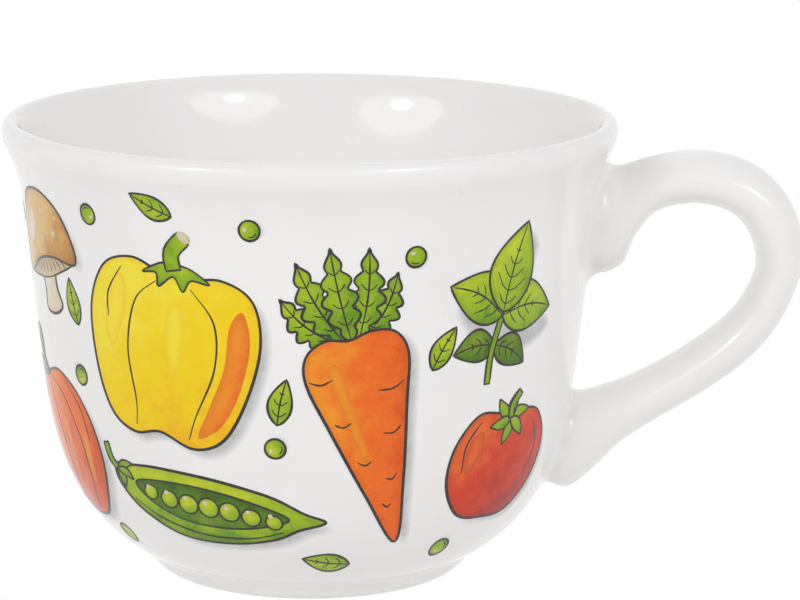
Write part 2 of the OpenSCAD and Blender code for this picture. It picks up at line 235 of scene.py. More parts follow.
def skin(rings, start, end):
    """A closed skin over rings of points, with a middle point at each end."""
    n = len(rings[0])
    verts = np.vstack([[start], *rings, [end]])
    last = len(verts) - 1
    top = 1 + (len(rings) - 1) * n
    faces = []
    for k in range(len(rings) - 1):
        for j in range(n):
            a, b = 1 + k * n + j, 1 + k * n + (j + 1) % n
            faces.append((a, a + n, b + n, b))
    for j in range(n):
        faces.append((0, 1 + j, 1 + (j + 1) % n))
        faces.append((last, top + (j + 1) % n, top + j))
    return verts, faces


# Handle and its joints

# Each station has an outer and an inner point, as shares of the handle's reach and span.
HANDLE_SHARES = [
    [[-0.216, 0.906], [-0.216, 0.634]], [[-0.079, 0.919], [-0.079, 0.639]], [[0.059, 0.937], [0.054, 0.643]],
    [[0.137, 0.948], [0.118, 0.646]], [[0.218, 0.965], [0.187, 0.677]], [[0.308, 0.983], [0.234, 0.75]],
    [[0.422, 0.997], [0.327, 0.824]], [[0.545, 1], [0.481, 0.85]], [[0.695, 0.982], [0.613, 0.839]],
    [[0.831, 0.933], [0.704, 0.806]], [[0.945, 0.842], [0.759, 0.75]], [[0.999, 0.719], [0.781, 0.693]],
    [[0.973, 0.619], [0.769, 0.64]], [[0.89, 0.5], [0.697, 0.553]], [[0.753, 0.394], [0.583, 0.481]],
    [[0.563, 0.301], [0.418, 0.405]], [[0.363, 0.22], [0.239, 0.341]], [[0.199, 0.148], [0.101, 0.306]],
    [[0.086, 0.075], [0.01, 0.289]], [[-0.035, 0.008], [-0.069, 0.286]], [[-0.115, 0.01], [-0.187, 0.287]],
    [[-0.25, 0.055], [-0.353, 0.288]],
]

# How much of the growth from the grip's width to the lugs' each station has
LUG_SHARES = [1, 1, 1, 0.9, 0.6, 0.3, 0.1, 0, 0, 0, 0, 0, 0, 0, 0, 0, 0.1, 0.4, 0.8, 1, 1, 1]
STATIONS = np.array(HANDLE_SHARES) * (HANDLE_REACH, HANDLE_SPAN) + (BELLY_R, HANDLE_LOW_Z)
LAST = len(HANDLE_SHARES) - 1
FACE_SHARES = (0.25, 0.5, 0.75)
HANDLE_RINGS = 181
FILLET_STEPS = 24
HALVINGS = 30
UPPER_ROOT = (0, 6)
LOWER_ROOT = (LAST, LAST - 6)
SECTION_SIDES = 72
TURNS = np.linspace(0, 2 * math.pi, SECTION_SIDES, endpoint=False)


def handle_point(s, turn):
    """Points on the skin of the handle, at stations and angles round the section."""
    pair = smooth(STATIONS, s)
    out, inner = pair[:, 0], pair[:, 1]
    half_w = (GRIP_W + (LUG_W - GRIP_W) * smooth(np.array(LUG_SHARES)[:, None], s)[:, 0]) / 2
    p = (out + inner) / 2 + (out - inner) / 2 * np.cos(turn)[:, None]
    return np.stack([p[:, 0], half_w * np.sin(turn), p[:, 1]], 1)


def station_off(root, gap, turns):
    """Stations where the lines along the handle stand a gap off the wall."""
    near, far = np.full(len(turns), float(root[0])), np.full(len(turns), float(root[1]))
    gap = np.broadcast_to(gap, len(turns))
    for _ in range(HALVINGS):
        mid = (near + far) / 2
        p = handle_point(mid, turns)
        beyond = np.hypot(p[:, 0], p[:, 1]) - wall_r(p[:, 2]) > gap
        far = np.where(beyond, mid, far)
        near = np.where(beyond, near, mid)
    return (near + far) / 2


def ring_off(root, gap, turns):
    """The ring round the handle that stands a gap off the wall."""
    return handle_point(station_off(root, gap, turns), turns)


def drawn_in(ring, share, gap):
    """A ring drawn in towards its middle, a gap off the wall."""
    middle = ring.mean(0)
    drawn = middle + (ring - middle) * share
    return on_wall(drawn[:, 1], drawn[:, 2], gap)


def build_handle():
    """The skin of the handle between its two lugs, which are closed by faces that follow the wall."""
    starts = station_off(UPPER_ROOT, SLIP_T, TURNS)
    ends = station_off(LOWER_ROOT, SLIP_T, TURNS)
    body = [handle_point(starts + (ends - starts) * k, TURNS) for k in np.linspace(0, 1, HANDLE_RINGS)]
    top_face = [drawn_in(body[0], share, SLIP_T) for share in FACE_SHARES]
    low_face = [drawn_in(body[-1], share, SLIP_T) for share in FACE_SHARES[::-1]]
    start = drawn_in(body[0], 0, SLIP_T)[0]
    end = drawn_in(body[-1], 0, SLIP_T)[0]
    return skin([*top_face, *body, *low_face], start, end)


def build_joint(root, end_reach):
    """The fillet of slip round a lug and the bed under it, and how deep in the hollow each point is."""
    turns = TURNS if root[0] < root[1] else -TURNS
    bed = ring_off(root, SLIP_T, turns)
    crease = ring_off(root, 0, turns)
    reach = end_reach + (FILLET_SIDE - end_reach) * np.sin(turns) ** 2
    tangent_gap = reach ** 2 / (2 * RIM_R)
    bend = ring_off(root, tangent_gap, turns)
    away = crease[:, 1:] - crease[:, 1:].mean(0)
    away = away / np.linalg.norm(away, axis=1)[:, None] * reach[:, None]
    foot = on_wall(crease[:, 1] + away[:, 0], crease[:, 2] + away[:, 1])
    head = ring_off(root, reach, turns)
    steps = np.linspace(0, 1, FILLET_STEPS + 1)
    fillet = [bezier((foot, (foot + bend) / 2, bend, head), [t] * SECTION_SIDES) for t in steps]
    under = [drawn_in(foot, share, 0) for share in FACE_SHARES]
    over = [drawn_in(bed, share, SLIP_T) for share in FACE_SHARES[::-1]]
    rings = [*under, *fillet, bed, *over]
    # How deep in the hollow each ring lies, which the glaze reads to paint shade in the creases
    hollow = np.sin(math.pi * steps ** 2) ** 2
    depth = np.concatenate([np.zeros(len(under)), hollow, np.zeros(1 + len(over))])
    depth = np.concatenate([[0], np.repeat(depth, SECTION_SIDES), [0]])
    return skin(rings, drawn_in(foot, 0, 0)[0], drawn_in(bed, 0, SLIP_T)[0]), depth


# Materials

GLAZE_WHITE = (0.957, 0.945, 0.942)
GLAZE_SHADE = (0.936, 0.922, 0.915)
SPECK_BROWN = (0.55, 0.5, 0.42)
# Painted shade for the joints' hollows: a darker, warmer grey than the glaze, partly the tint of thin glaze
HOLLOW_SHADE_GREY = (0.86, 0.832, 0.80)
CLAY_DARK = (0.52, 0.48, 0.42)
CLAY_LIGHT = (0.74, 0.71, 0.66)
INK_DARK = (0.012, 0.01, 0.008)
INK_WORN = (0.045, 0.036, 0.03)
WASH_GREY = (0.5, 0.5, 0.51)
BLACK = (0, 0, 0)
WHITE = (1, 1, 1)
GLAZE_ROUGHNESS = 0.06
GLAZE_IOR = 1.5
CLAY_ROUGHNESS = 0.85
PRINT_SPECULAR = 0.3
PEEL_DEPTH = 0.06 * MM
CLAY_GRAIN_DEPTH = 0.12 * MM
WIPED_Z = 0.3 * MM
GLAZED_Z = 0.5 * MM
WIPE_RAGGED = 0.6 * MM
WIPE_SPAN = 10 * MM


def grey(level):
    """A colour without hue."""
    return (level,) * 3


class Nodes:
    """A short way to write the nodes of a material or of the world."""

    def __init__(self, owner):
        owner.use_nodes = True
        self.owner = owner
        self.tree = owner.node_tree
        self.shader = self.tree.nodes.get("Principled BSDF")

    def put(self, socket, value):
        """Links a socket to an output, or gives it a constant."""
        if isinstance(value, bpy.types.NodeSocket):
            self.tree.links.new(value, socket)
        elif socket.type == "RGBA":
            socket.default_value = (*value, 1)
        else:
            socket.default_value = value

    def add(self, kind, inputs=(), **settings):
        """A node of a kind, with its inputs and settings."""
        node = self.tree.nodes.new(kind)
        for key, value in settings.items():
            setattr(node, key, value)
        for key, value in dict(inputs).items():
            self.put(node.inputs[key], value)
        return node

    def noise(self, scale, detail, roughness=0.5):
        """Noise in the space of the object, from 0 to 1."""
        coordinates = self.add("ShaderNodeTexCoord").outputs["Object"]
        inputs = {"Vector": coordinates, "Scale": scale, "Detail": detail, "Roughness": roughness}
        return self.add("ShaderNodeTexNoise", inputs).outputs["Fac"]

    def ramp(self, value, stops, smooth_steps=False):
        """A colour ramp through stops of a position and a colour."""
        node = self.add("ShaderNodeValToRGB", {"Fac": value})
        if smooth_steps:
            node.color_ramp.interpolation = "EASE"
        elements = node.color_ramp.elements
        while len(elements) < len(stops):
            elements.new(0.5)
        for element, (position, colour) in zip(elements, stops):
            element.position = position
            element.color = (*colour, 1)
        return node.outputs["Color"]

    def math(self, operation, a, b):
        """The result of one sum."""
        return self.add("ShaderNodeMath", {0: a, 1: b}, operation=operation).outputs[0]

    def swing(self, value, reach):
        """A value from 0 to 1, turned into one that swings to both sides of nought."""
        return self.math("MULTIPLY", self.math("SUBTRACT", value, 0.5), reach)

    def mix(self, share, a, b):
        """A colour between two others, which are the node's inputs 6 and 7."""
        return self.add("ShaderNodeMix", {"Factor": share, 6: a, 7: b}, data_type="RGBA").outputs[2]

    def attribute(self, name):
        """A value that the mesh holds for each vertex."""
        return self.add("ShaderNodeAttribute", attribute_name=name).outputs["Fac"]

    def bump(self, height, strength, distance):
        """Fine relief on the surface."""
        node = self.add("ShaderNodeBump", {"Height": height, "Strength": strength, "Distance": distance})
        self.put(self.shader.inputs["Normal"], node.outputs[0])

    def set(self, **values):
        """Gives the shader its values and returns the material."""
        for name, value in values.items():
            self.put(self.shader.inputs[name.replace("_", " ")], value)
        return self.owner


def new_nodes(name):
    """The nodes of a new material."""
    return Nodes(bpy.data.materials.new(name))


def glaze_gloss(nodes):
    """The gloss and the faint orange peel of the glaze, which the prints lie under too."""
    uneven = nodes.noise(260, 3)
    peel = nodes.noise(900, 2)
    height = nodes.math("ADD", nodes.math("MULTIPLY", uneven, 0.8), nodes.math("MULTIPLY", peel, 0.2))
    nodes.bump(height, 0.25, PEEL_DEPTH)
    gloss = [(0.3, grey(GLAZE_ROUGHNESS - 0.02)), (0.7, grey(GLAZE_ROUGHNESS + 0.03))]
    nodes.set(Roughness=nodes.ramp(nodes.noise(90, 3), gloss))
    nodes.shader.inputs["IOR"].default_value = GLAZE_IOR


def glaze_colour(nodes):
    """White, with a faint cloudiness, a few tiny specks, and a darker, warmer grey painted in the hollows of
    the joints: painted shade in the creases, with the warm tint of thin glaze there.
    """
    cloud = nodes.ramp(nodes.noise(38, 5), [(0.35, GLAZE_WHITE), (0.75, GLAZE_SHADE)], True)
    speck = nodes.ramp(nodes.noise(520, 1), [(0.78, BLACK), (0.82, WHITE)])
    speckled = nodes.mix(nodes.math("MULTIPLY", speck, 0.12), cloud, SPECK_BROWN)
    patchy_shade = nodes.ramp(nodes.noise(150, 3), [(0.35, grey(0.3)), (0.65, WHITE)])
    # Darker, warmer grey painted by the depth in the joints' hollows: painted shade in the creases, partly
    # the warm tint of thin glaze
    return nodes.mix(nodes.math("MULTIPLY", patchy_shade, nodes.attribute("hollow")), speckled, HOLLOW_SHADE_GREY)


def glaze_material():
    """White glossy glaze."""
    nodes = new_nodes("glaze")
    glaze_gloss(nodes)
    return nodes.set(Base_Color=glaze_colour(nodes))


def foot_material():
    """Glaze down the sides of the foot ring, wiped away where it stands."""
    nodes = new_nodes("foot")
    coordinates = nodes.add("ShaderNodeTexCoord").outputs["Object"]
    z = nodes.add("ShaderNodeSeparateXYZ", {0: coordinates}).outputs["Z"]
    ragged = nodes.math("MULTIPLY", nodes.noise(420, 3), WIPE_RAGGED)
    share = nodes.math("MULTIPLY", nodes.math("ADD", z, ragged), 1 / WIPE_SPAN)
    bare = nodes.ramp(share, [(WIPED_Z / WIPE_SPAN, WHITE), (GLAZED_Z / WIPE_SPAN, BLACK)])
    grain = nodes.noise(1400, 4, 0.7)
    clay = nodes.ramp(grain, [(0.3, CLAY_DARK), (0.7, CLAY_LIGHT)])
    roughness = nodes.ramp(bare, [(0, grey(GLAZE_ROUGHNESS)), (1, grey(CLAY_ROUGHNESS))])
    nodes.bump(nodes.math("MULTIPLY", grain, bare), 0.5, CLAY_GRAIN_DEPTH)
    return nodes.set(Base_Color=nodes.mix(bare, glaze_colour(nodes), clay), Roughness=roughness)


def paint_material(name, dark, mid, light):
    """A ceramic colour that was brushed on thinly: mottled, darker where it pooled at its edge."""
    nodes = new_nodes(name)
    shade = nodes.attribute("shade")
    edge = nodes.attribute("edge")
    brush = nodes.noise(210, 5, 0.6)
    grain = nodes.noise(1500, 2)
    tone = nodes.math("ADD", shade, nodes.swing(brush, 0.9))
    tone = nodes.math("ADD", tone, nodes.swing(grain, 0.25))
    colour = nodes.ramp(tone, [(0.1, dark), (0.5, mid), (0.9, light)], True)
    pooled = nodes.math("MULTIPLY", nodes.math("SUBTRACT", 1.0, edge), 0.45)
    glaze_gloss(nodes)
    nodes.shader.inputs["Specular IOR Level"].default_value = PRINT_SPECULAR
    return nodes.set(Base_Color=nodes.mix(pooled, colour, dark))


def ink_material():
    """A fine dark line, thinner in places."""
    nodes = new_nodes("ink")
    wear = nodes.ramp(nodes.noise(700, 3), [(0.3, INK_DARK), (0.8, INK_WORN)])
    glaze_gloss(nodes)
    return nodes.set(Base_Color=wear)


def shadow_material():
    """A wash of thin grey beside a vegetable, that lets the glaze show through."""
    nodes = new_nodes("grey_wash")
    edge = nodes.attribute("edge")
    cloud = nodes.noise(160, 5, 0.6)
    tone = nodes.math("MULTIPLY", edge, nodes.ramp(cloud, [(0.25, grey(0.55)), (0.65, WHITE)]))
    glaze_gloss(nodes)
    return nodes.set(Base_Color=nodes.mix(tone, GLAZE_WHITE, WASH_GREY))


glaze = glaze_material()
ink = ink_material()
grey_wash = shadow_material()
orange = paint_material("carrot_orange", (0.68, 0.085, 0.006), (0.92, 0.16, 0.010), (0.96, 0.33, 0.015))
red = paint_material("pepper_red", (0.42, 0.018, 0.006), (0.70, 0.045, 0.010), (0.84, 0.15, 0.025))
green = paint_material("leaf_green", (0.12, 0.28, 0.006), (0.34, 0.52, 0.012), (0.60, 0.67, 0.022))
deep_green = paint_material("deep_green", (0.03, 0.10, 0.006), (0.10, 0.22, 0.010), (0.24, 0.36, 0.014))
yellow = paint_material("corn_yellow", (0.94, 0.50, 0.004), (0.97, 0.69, 0.002), (0.97, 0.80, 0.04))
cream = paint_material("cream", (0.62, 0.46, 0.27), (0.78, 0.66, 0.45), (0.83, 0.77, 0.64))
pink = paint_material("radish_pink", (0.52, 0.05, 0.11), (0.74, 0.17, 0.24), (0.84, 0.48, 0.48))
brown = paint_material("onion_brown", (0.36, 0.13, 0.02), (0.60, 0.28, 0.05), (0.80, 0.50, 0.16))


# Printed films on the wall

FILM_UNDER = 0.03 * MM
FILM_BASE = 0.02 * MM
FILM_STEP = 0.021 * MM
PATCH_LIFT = 1 / 3
LINE_LIFT = 2 / 3
GRID = 1.1 * MM
GRID_ROW_SHARE = 0.87
GRID_CLEAR_SHARE = 0.55
EDGE_REACH = 1.3 * MM
LINE = 0.54
FINE_LINE = 0.38
LEAST = 1e-12
LEAST_SQUARE = 1e-18
SAME_POINT = 1e-6
INSIDE_ONLY = 1
LIT_SIDE = (-0.35, 0.5)
PEN_SWELL = 0.2
PEN_REST = 0.04
THIN_END = 0.3
BLOB_SIDES = 20


def inside_loop(points, loop):
    """Which points lie inside a closed loop."""
    x, y = points[:, None, 0], points[:, None, 1]
    a, b = loop, np.roll(loop, -1, 0)
    crosses = (a[:, 1] > y) != (b[:, 1] > y)
    rise = b[:, 1] - a[:, 1]
    rise = np.where(np.abs(rise) < LEAST, LEAST, rise)
    at_x = a[:, 0] + (y - a[:, 1]) * (b[:, 0] - a[:, 0]) / rise
    return (crosses & (x < at_x)).sum(1) % 2 == 1


def loop_distance(points, loop):
    """Distance of points from the nearest side of a closed loop."""
    a, b = loop, np.roll(loop, -1, 0)
    side = b - a
    along = ((points[:, None] - a) * side).sum(2) / np.maximum((side ** 2).sum(1), LEAST_SQUARE)
    nearest = a + np.clip(along, 0, 1)[..., None] * side
    return np.linalg.norm(points[:, None] - nearest, axis=2).min(1)


def across_path(path, closed=False):
    """At each point of a path, a step of one to its left."""
    if closed:
        ahead = np.roll(path, -1, 0) - np.roll(path, 1, 0)
    else:
        ahead = np.gradient(path, axis=0)
    ahead = ahead / np.maximum(np.linalg.norm(ahead, axis=1), LEAST)[:, None]
    return np.column_stack([-ahead[:, 1], ahead[:, 0]])


class Print:
    """A drawing that is built up as thin films on the wall, at each of its places round the mug.

    Points are given as shares of the width and height of the drawing, with the middle at zero."""

    def __init__(self, size_shares, places):
        self.w = size_shares[0] * RIM_R
        self.h = size_shares[1] * BOWL_H
        self.places = places
        self.verts, self.faces, self.indices, self.normals = [], [], [], []
        self.shade, self.edge = [], []
        self.materials = []
        self.level = 0

    def metres(self, points):
        """Points in metres from their shares."""
        return np.asarray(points, float) * (self.w, self.h)

    def on_bowl(self, flat, gap, place):
        """Lays flat points on the wall at a place: angle, share of the wall height and tilt."""
        angle, share, tilt = math.radians(place[0]), place[1], math.radians(place[2])
        y = flat[:, 0] * math.cos(tilt) - flat[:, 1] * math.sin(tilt)
        z = flat[:, 0] * math.sin(tilt) + flat[:, 1] * math.cos(tilt) + share * BOWL_H
        slope = wall_slope(z)
        p = on_wall(y, z, 0)
        out = p[:, :2] / wall_r(z)[:, None]
        normal = np.column_stack([out, -slope]) / np.sqrt(1 + slope ** 2)[:, None]
        p = p + normal * gap
        turn = np.array([[math.cos(angle), -math.sin(angle)], [math.sin(angle), math.cos(angle)]])
        p[:, :2] = p[:, :2] @ turn.T
        normal[:, :2] = normal[:, :2] @ turn.T
        return p, normal

    def sheet(self, paint, flat, triangles, lift, shade, edge):
        """A closed thin film over flat triangles, a share of a step above the level."""
        if paint not in self.materials:
            self.materials.append(paint)
        rim = rim_edges(triangles)
        top_gap = FILM_BASE + FILM_STEP * (self.level + lift)
        n = len(flat)
        for place in self.places:
            top, normal = self.on_bowl(flat, top_gap, place)
            under, _ = self.on_bowl(flat, -FILM_UNDER, place)
            base = len(self.verts)
            self.verts += [*top, *under]
            self.normals += [*normal, *-normal]
            for a, b, c in triangles:
                self.faces.append((base + a, base + b, base + c))
                self.faces.append((base + n + c, base + n + b, base + n + a))
            for a, b in rim:
                self.faces.append((base + b, base + a, base + n + a, base + n + b))
            added = len(self.faces) - len(self.indices)
            self.indices += [self.materials.index(paint)] * added
            self.shade += [*shade, *shade]
            self.edge += [*edge, *edge]

    def fill(self, paint, points, light, base, reach=EDGE_REACH, lift=0):
        """A region inside a smooth closed outline, lighter towards one side."""
        self.region(paint, self.metres(closed_curve(points)), light, base, reach, lift)

    def region(self, paint, loop, light=LIT_SIDE, base=0.5, reach=EDGE_REACH, lift=0):
        """A region inside a loop in metres, with a grid of points so that it follows the wall."""
        low, high = loop.min(0), loop.max(0)
        xs = np.arange(low[0], high[0], GRID)
        ys = np.arange(low[1], high[1], GRID * GRID_ROW_SHARE)
        grid = np.array([(x + (k % 2) * GRID / 2, y) for k, y in enumerate(ys) for x in xs]).reshape(-1, 2)
        grid = grid[inside_loop(grid, loop)]
        grid = grid[loop_distance(grid, loop) > GRID * GRID_CLEAR_SHARE]
        flat = np.vstack([loop, grid])
        n = len(loop)
        ring = [(i, (i + 1) % n) for i in range(n)]
        scale = 1 / MM
        result = delaunay_2d_cdt([Vector(p * scale) for p in flat], ring, [], INSIDE_ONLY, SAME_POINT)
        flat = np.array([v[:] for v in result[0]]) * MM
        triangles = [tuple(face) for face in result[2]]
        middle, half = (low + high) / 2, np.maximum((high - low) / 2, SAME_POINT)
        distance = loop_distance(flat, loop)
        shade = base + ((flat - middle) / half * light).sum(1) * 0.5
        self.sheet(paint, flat, triangles, lift, shade, np.clip(distance / reach, 0, 1))

    def stroke(self, points, width=FINE_LINE, closed=False):
        """An ink line through points, its width in millimetres."""
        path = closed_curve(points, 8) if closed else open_curve(points, 8)
        self.trace(self.metres(path), width, closed)

    def trace(self, path, width=FINE_LINE, closed=False):
        """An ink line along a path in metres, uneven as a pen is and thinner towards its ends."""
        if len(path) < 5 and not closed:
            path = open_curve(path, 4)
        across = across_path(path, closed)
        t = np.linspace(0, 1, len(path))
        phase = path[0, 0] / MM
        swell = 1 + PEN_SWELL * np.sin(4 * math.pi * t + phase) * np.sin(2 * math.pi * t)
        if not closed:
            bow = np.sin(math.pi * np.clip(t, PEN_REST, 1 - PEN_REST)) ** 0.6
            swell = swell * (THIN_END + (1 - THIN_END) * bow)
        half = (width * MM / 2 * swell)[:, None]
        flat = np.vstack([path + across * half, path - across * half])
        n = len(path)
        triangles = []
        for i in range(n if closed else n - 1):
            j = (i + 1) % n
            triangles += [(i, n + i, n + j), (i, n + j, j)]
        self.sheet(ink, flat, triangles, LINE_LIFT, [0.5] * len(flat), [1.0] * len(flat))

    def blob(self, paint, centre, radius, base=0.5, squeeze=1.0, turn=0.0):
        """A round or oval spot, its radius in millimetres."""
        ring = circle(BLOB_SIDES) * (1, squeeze) * radius * MM
        c, s = math.cos(turn), math.sin(turn)
        ring = ring @ np.array([[c, s], [-s, c]])
        self.region(paint, ring + self.metres(centre), base=base, reach=radius * MM * 0.6, lift=PATCH_LIFT)

    def build(self, name, node):
        """Makes the drawing one piece, with the values that its paints read."""
        obj = make_object(name, self.verts, self.faces, self.materials, self.indices, self.normals)
        mark(obj, "shade", self.shade)
        mark(obj, "edge", self.edge)
        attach(obj, "root")
        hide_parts(node)


def rim_edges(triangles):
    """The edges that only one triangle has, in its direction."""
    edges = {(a, b) for t in triangles for a, b in zip(t, (t[1], t[2], t[0]))}
    return [(a, b) for a, b in sorted(edges) if (b, a) not in edges]


# The bowl, its foot and the handle

FOOT_BLEND_H = 1.3 * MM
FOOT_SIDE_POINT = (BASE_R - 0.7 * MM, 2.4 * MM)
FOOT_BEND_R = BASE_R - 1.7 * MM
FOOT_STAND_R = BASE_R - 4.8 * MM
UNDER_GLAZE = 0.1 * MM
FOOT_CURVE_STEPS = 14
FOOT_BOTTOM_STEPS = 3
FOOT_BACK_STEPS = 5
FOOT_TOP_STEPS = 5
FOOT_HIDDEN_STEPS = 4
BOWL_SIDES = 384


def turn_curve(start, bend, end):
    """A curve from a start to an end that a bend point draws to itself."""
    t = np.linspace(0, 1, FOOT_CURVE_STEPS + 1)[:, None]
    return (1 - t) ** 2 * np.array(start) + 2 * t * (1 - t) * np.array(bend) + t ** 2 * np.array(end)


def foot_profile():
    """The foot ring, with a hollow blend up to the wall and a softly rounded side, as radius and height."""
    blend_z = FOOT_H + FOOT_BLEND_H
    blend = turn_curve((wall_r(blend_z), blend_z), (BASE_R, FOOT_H), FOOT_SIDE_POINT)
    side = turn_curve(FOOT_SIDE_POINT, (FOOT_BEND_R, 0), (FOOT_STAND_R, 0))[1:]
    bottom = [(r, 0) for r in steps_after(FOOT_STAND_R, FOOT_INNER_R, FOOT_BOTTOM_STEPS)]
    back = [(FOOT_INNER_R, z) for z in steps_after(0, FOOT_H, FOOT_BACK_STEPS)]
    top = [(r, FOOT_H) for r in steps_after(FOOT_INNER_R, BASE_R, FOOT_TOP_STEPS)]
    hidden = [(wall_r(z) - UNDER_GLAZE, z) for z in steps_after(FOOT_H, blend_z, FOOT_HIDDEN_STEPS)]
    return np.array([*blend, *side, *bottom, *back, *top, *hidden])


def build_body():
    """The glazed bowl, its foot, the handle and the slip that joins it."""
    bowl_profile = np.vstack([[(0, FOOT_H)], outside, lip_top, inside, [(0, FLOOR_Z)]])
    bowl = make_object("glazed_bowl", *revolve(bowl_profile, BOWL_SIDES, False), [glaze])
    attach(bowl, "root")
    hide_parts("bowl")

    foot_built = revolve(foot_profile()[::-1], BOWL_SIDES, True)
    foot = make_object("glazed_foot", *foot_built, [foot_material()])
    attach(foot, "root")
    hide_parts("foot_ring")

    handle = make_object("glazed_handle", *build_handle(), [glaze])
    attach(handle, "root")
    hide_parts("handle")

    for name, node, root, end_reach in (
        ("upper_slip_fillet", "upper_handle_joint", UPPER_ROOT, UPPER_FILLET_END),
        ("lower_slip_fillet", "lower_handle_joint", LOWER_ROOT, LOWER_FILLET_END),
    ):
        built, depth = build_joint(root, end_reach)
        joint = make_object(name, *built, [glaze])
        # The depth in the hollow, by which the glaze paints a darker, warmer grey as shade in the creases
        mark(joint, "hollow", depth)
        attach(joint, "root")
        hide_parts(node)


build_body()


# The vegetables. Outlines are shares of the width and height of each drawing.

SHADOW_STEP = (2.0 * MM, -1.5 * MM)
SHADOW_GROWTH = 1.02
SHADOW_REACH = 1.7 * MM
WARM_SIDE_REACH = 2.2 * MM
ROOT_TIP_REACH = 2 * MM
VEIN_SHARE = 0.8
VEIN_RISE = 0.8
VEIN_LINE = FINE_LINE * 0.7
SEPAL_BEND = 0.4
LEAF_SAMPLES = 22
LOBE_SAMPLES = 8
LEAF_LEAN = 0.8
LEAF_FULLNESS = 0.9
LEAF_LINE = FINE_LINE * 1.15
EDGE_LINE = FINE_LINE * 1.2


def both_sides(points):
    """A closed outline from its right half, which starts and may end on the middle line."""
    left = [(-x, y) for x, y in points[:0:-1] if x > 0]
    return [*points, *left]


def cast_shadow(p, points):
    """The grey wash that shows to the right of and below a vegetable."""
    loop = p.metres(closed_curve(points)) * SHADOW_GROWTH + SHADOW_STEP
    p.region(grey_wash, loop, reach=SHADOW_REACH)
    p.level = 1


def body(p, paint, points, light, base=0.5, line=LINE):
    """A painted region with an ink line round it."""
    p.fill(paint, points, light, base)
    p.stroke(points, line, closed=True)


def highlight(p, paint, points, base=1.0):
    """A soft paler patch inside a region."""
    p.fill(paint, points, (0, 0), base, lift=PATCH_LIFT)


def leaf_line(p, base, tip, width, bend, lobes=0, depth=0):
    """The middle line, the outline, the half widths and two directions of a leaf, in metres."""
    start, end = p.metres(base), p.metres(tip)
    ahead = end - start
    across = np.array([-ahead[1], ahead[0]]) / np.linalg.norm(ahead)
    s = np.linspace(0, 1, LOBE_SAMPLES * lobes or LEAF_SAMPLES)
    middle = start + np.outer(s, ahead) + np.outer(np.sin(math.pi * s) * bend * MM, across)
    half = width * MM / 2 * np.sin(math.pi * s ** LEAF_LEAN) ** LEAF_FULLNESS
    if lobes:
        half = half * (1 - depth + depth * np.abs(np.sin(math.pi * (lobes * s + 0.25))))
    half = np.where((s == 0) | (s == 1), 0, half)
    left = middle + half[:, None] * across
    right = middle - half[:, None] * across
    return middle, np.vstack([left, right[-2:0:-1]]), half, across, ahead


def leaf(p, paint, base, tip, width, bend, veins, lobes=0, shade=0.5, depth=0):
    """A leaf with its midrib and side veins, its width and bend in millimetres."""
    middle, loop, half, across, ahead = leaf_line(p, base, tip, width, bend, lobes, depth)
    p.region(paint, loop, (-0.3, 0.45), shade)
    p.trace(loop, LEAF_LINE, closed=True)
    p.trace(middle[:-1])
    samples = len(half)
    length = np.linalg.norm(ahead)
    unit = ahead / length
    for k in range(veins):
        i = int((k + 1) / (veins + 1.5) * (samples - 1))
        further = min(i + int(half[i] / length * samples) + 1, samples - 1)
        reach = half[i:further + 1].min() * VEIN_SHARE
        for side in (1, -1):
            end = middle[i] + across * side * reach + unit * reach * VEIN_RISE
            turn = middle[i] + across * side * reach * 0.45 + unit * reach * 0.2
            p.trace(np.array([middle[i], turn, end]), VEIN_LINE)


def stalk(p, paint, points, width):
    """A stem of even width along points, with a line round it."""
    path = p.metres(open_curve(points, 5))
    across = across_path(path) * width * MM / 2
    loop = np.vstack([path + across, (path - across)[::-1]])
    p.region(paint, loop, (0.4, 0))
    p.trace(loop, closed=True)


def calyx(p, paint, centre, points, reach, width, start, spread=2 * math.pi):
    """Pointed sepals round a stem, with their reach and width in millimetres."""
    middle = p.metres(centre)
    level = p.level
    for k in range(points):
        p.level = level + k % 2
        a = start + spread * k / points
        tip = middle + np.array([math.cos(a), math.sin(a)]) * reach * MM
        loop = leaf_line(p, centre, tip / (p.w, p.h), width, SEPAL_BEND)[1]
        p.region(paint, loop, (-0.2, 0.3), 0.5)
        p.trace(loop, closed=True)


def carrot(p):
    root = [
        (0, -0.5), (0.15, -0.3), (0.32, -0.04), (0.42, 0.11), (0.36, 0.19), (0.18, 0.215),
        (-0.02, 0.205), (-0.2, 0.22), (-0.37, 0.185), (-0.42, 0.1), (-0.33, -0.06), (-0.17, -0.3),
    ]
    cast_shadow(p, root)
    for level, tip, bend, width in (
        (1, (-0.46, 0.38), 1.2, 6.5), (1, (0.48, 0.37), -1.2, 6.5), (2, (-0.28, 0.48), 0.8, 7),
        (2, (0.3, 0.47), -0.8, 7), (3, (0, 0.5), 0.3, 7),
    ):
        p.level = level
        leaf(p, green, (tip[0] * 0.2, 0.2), tip, width, bend, lobes=5, veins=4, shade=0.45, depth=0.5)
    p.level = 4
    body(p, orange, root, (-0.6, 0.25))
    highlight(p, orange, [
        (-0.24, 0.12), (-0.14, 0.13), (-0.1, -0.02), (-0.07, -0.2), (-0.13, -0.18), (-0.2, 0),
    ])
    for z, side, reach in (
        (0.1, -1, 0.2), (0.03, 1, 0.24), (-0.05, -1, 0.14), (-0.11, 1, 0.16),
        (-0.19, -1, 0.12), (-0.26, 1, 0.1), (-0.35, -1, 0.07),
    ):
        half = 0.41 - 0.8 * max(0, 0.1 - z)
        edge = side * half
        inner = side * (half - reach)
        p.stroke([(edge * 0.96, z + 0.004), ((edge + inner) / 2, z - 0.012), (inner, z - 0.004)])


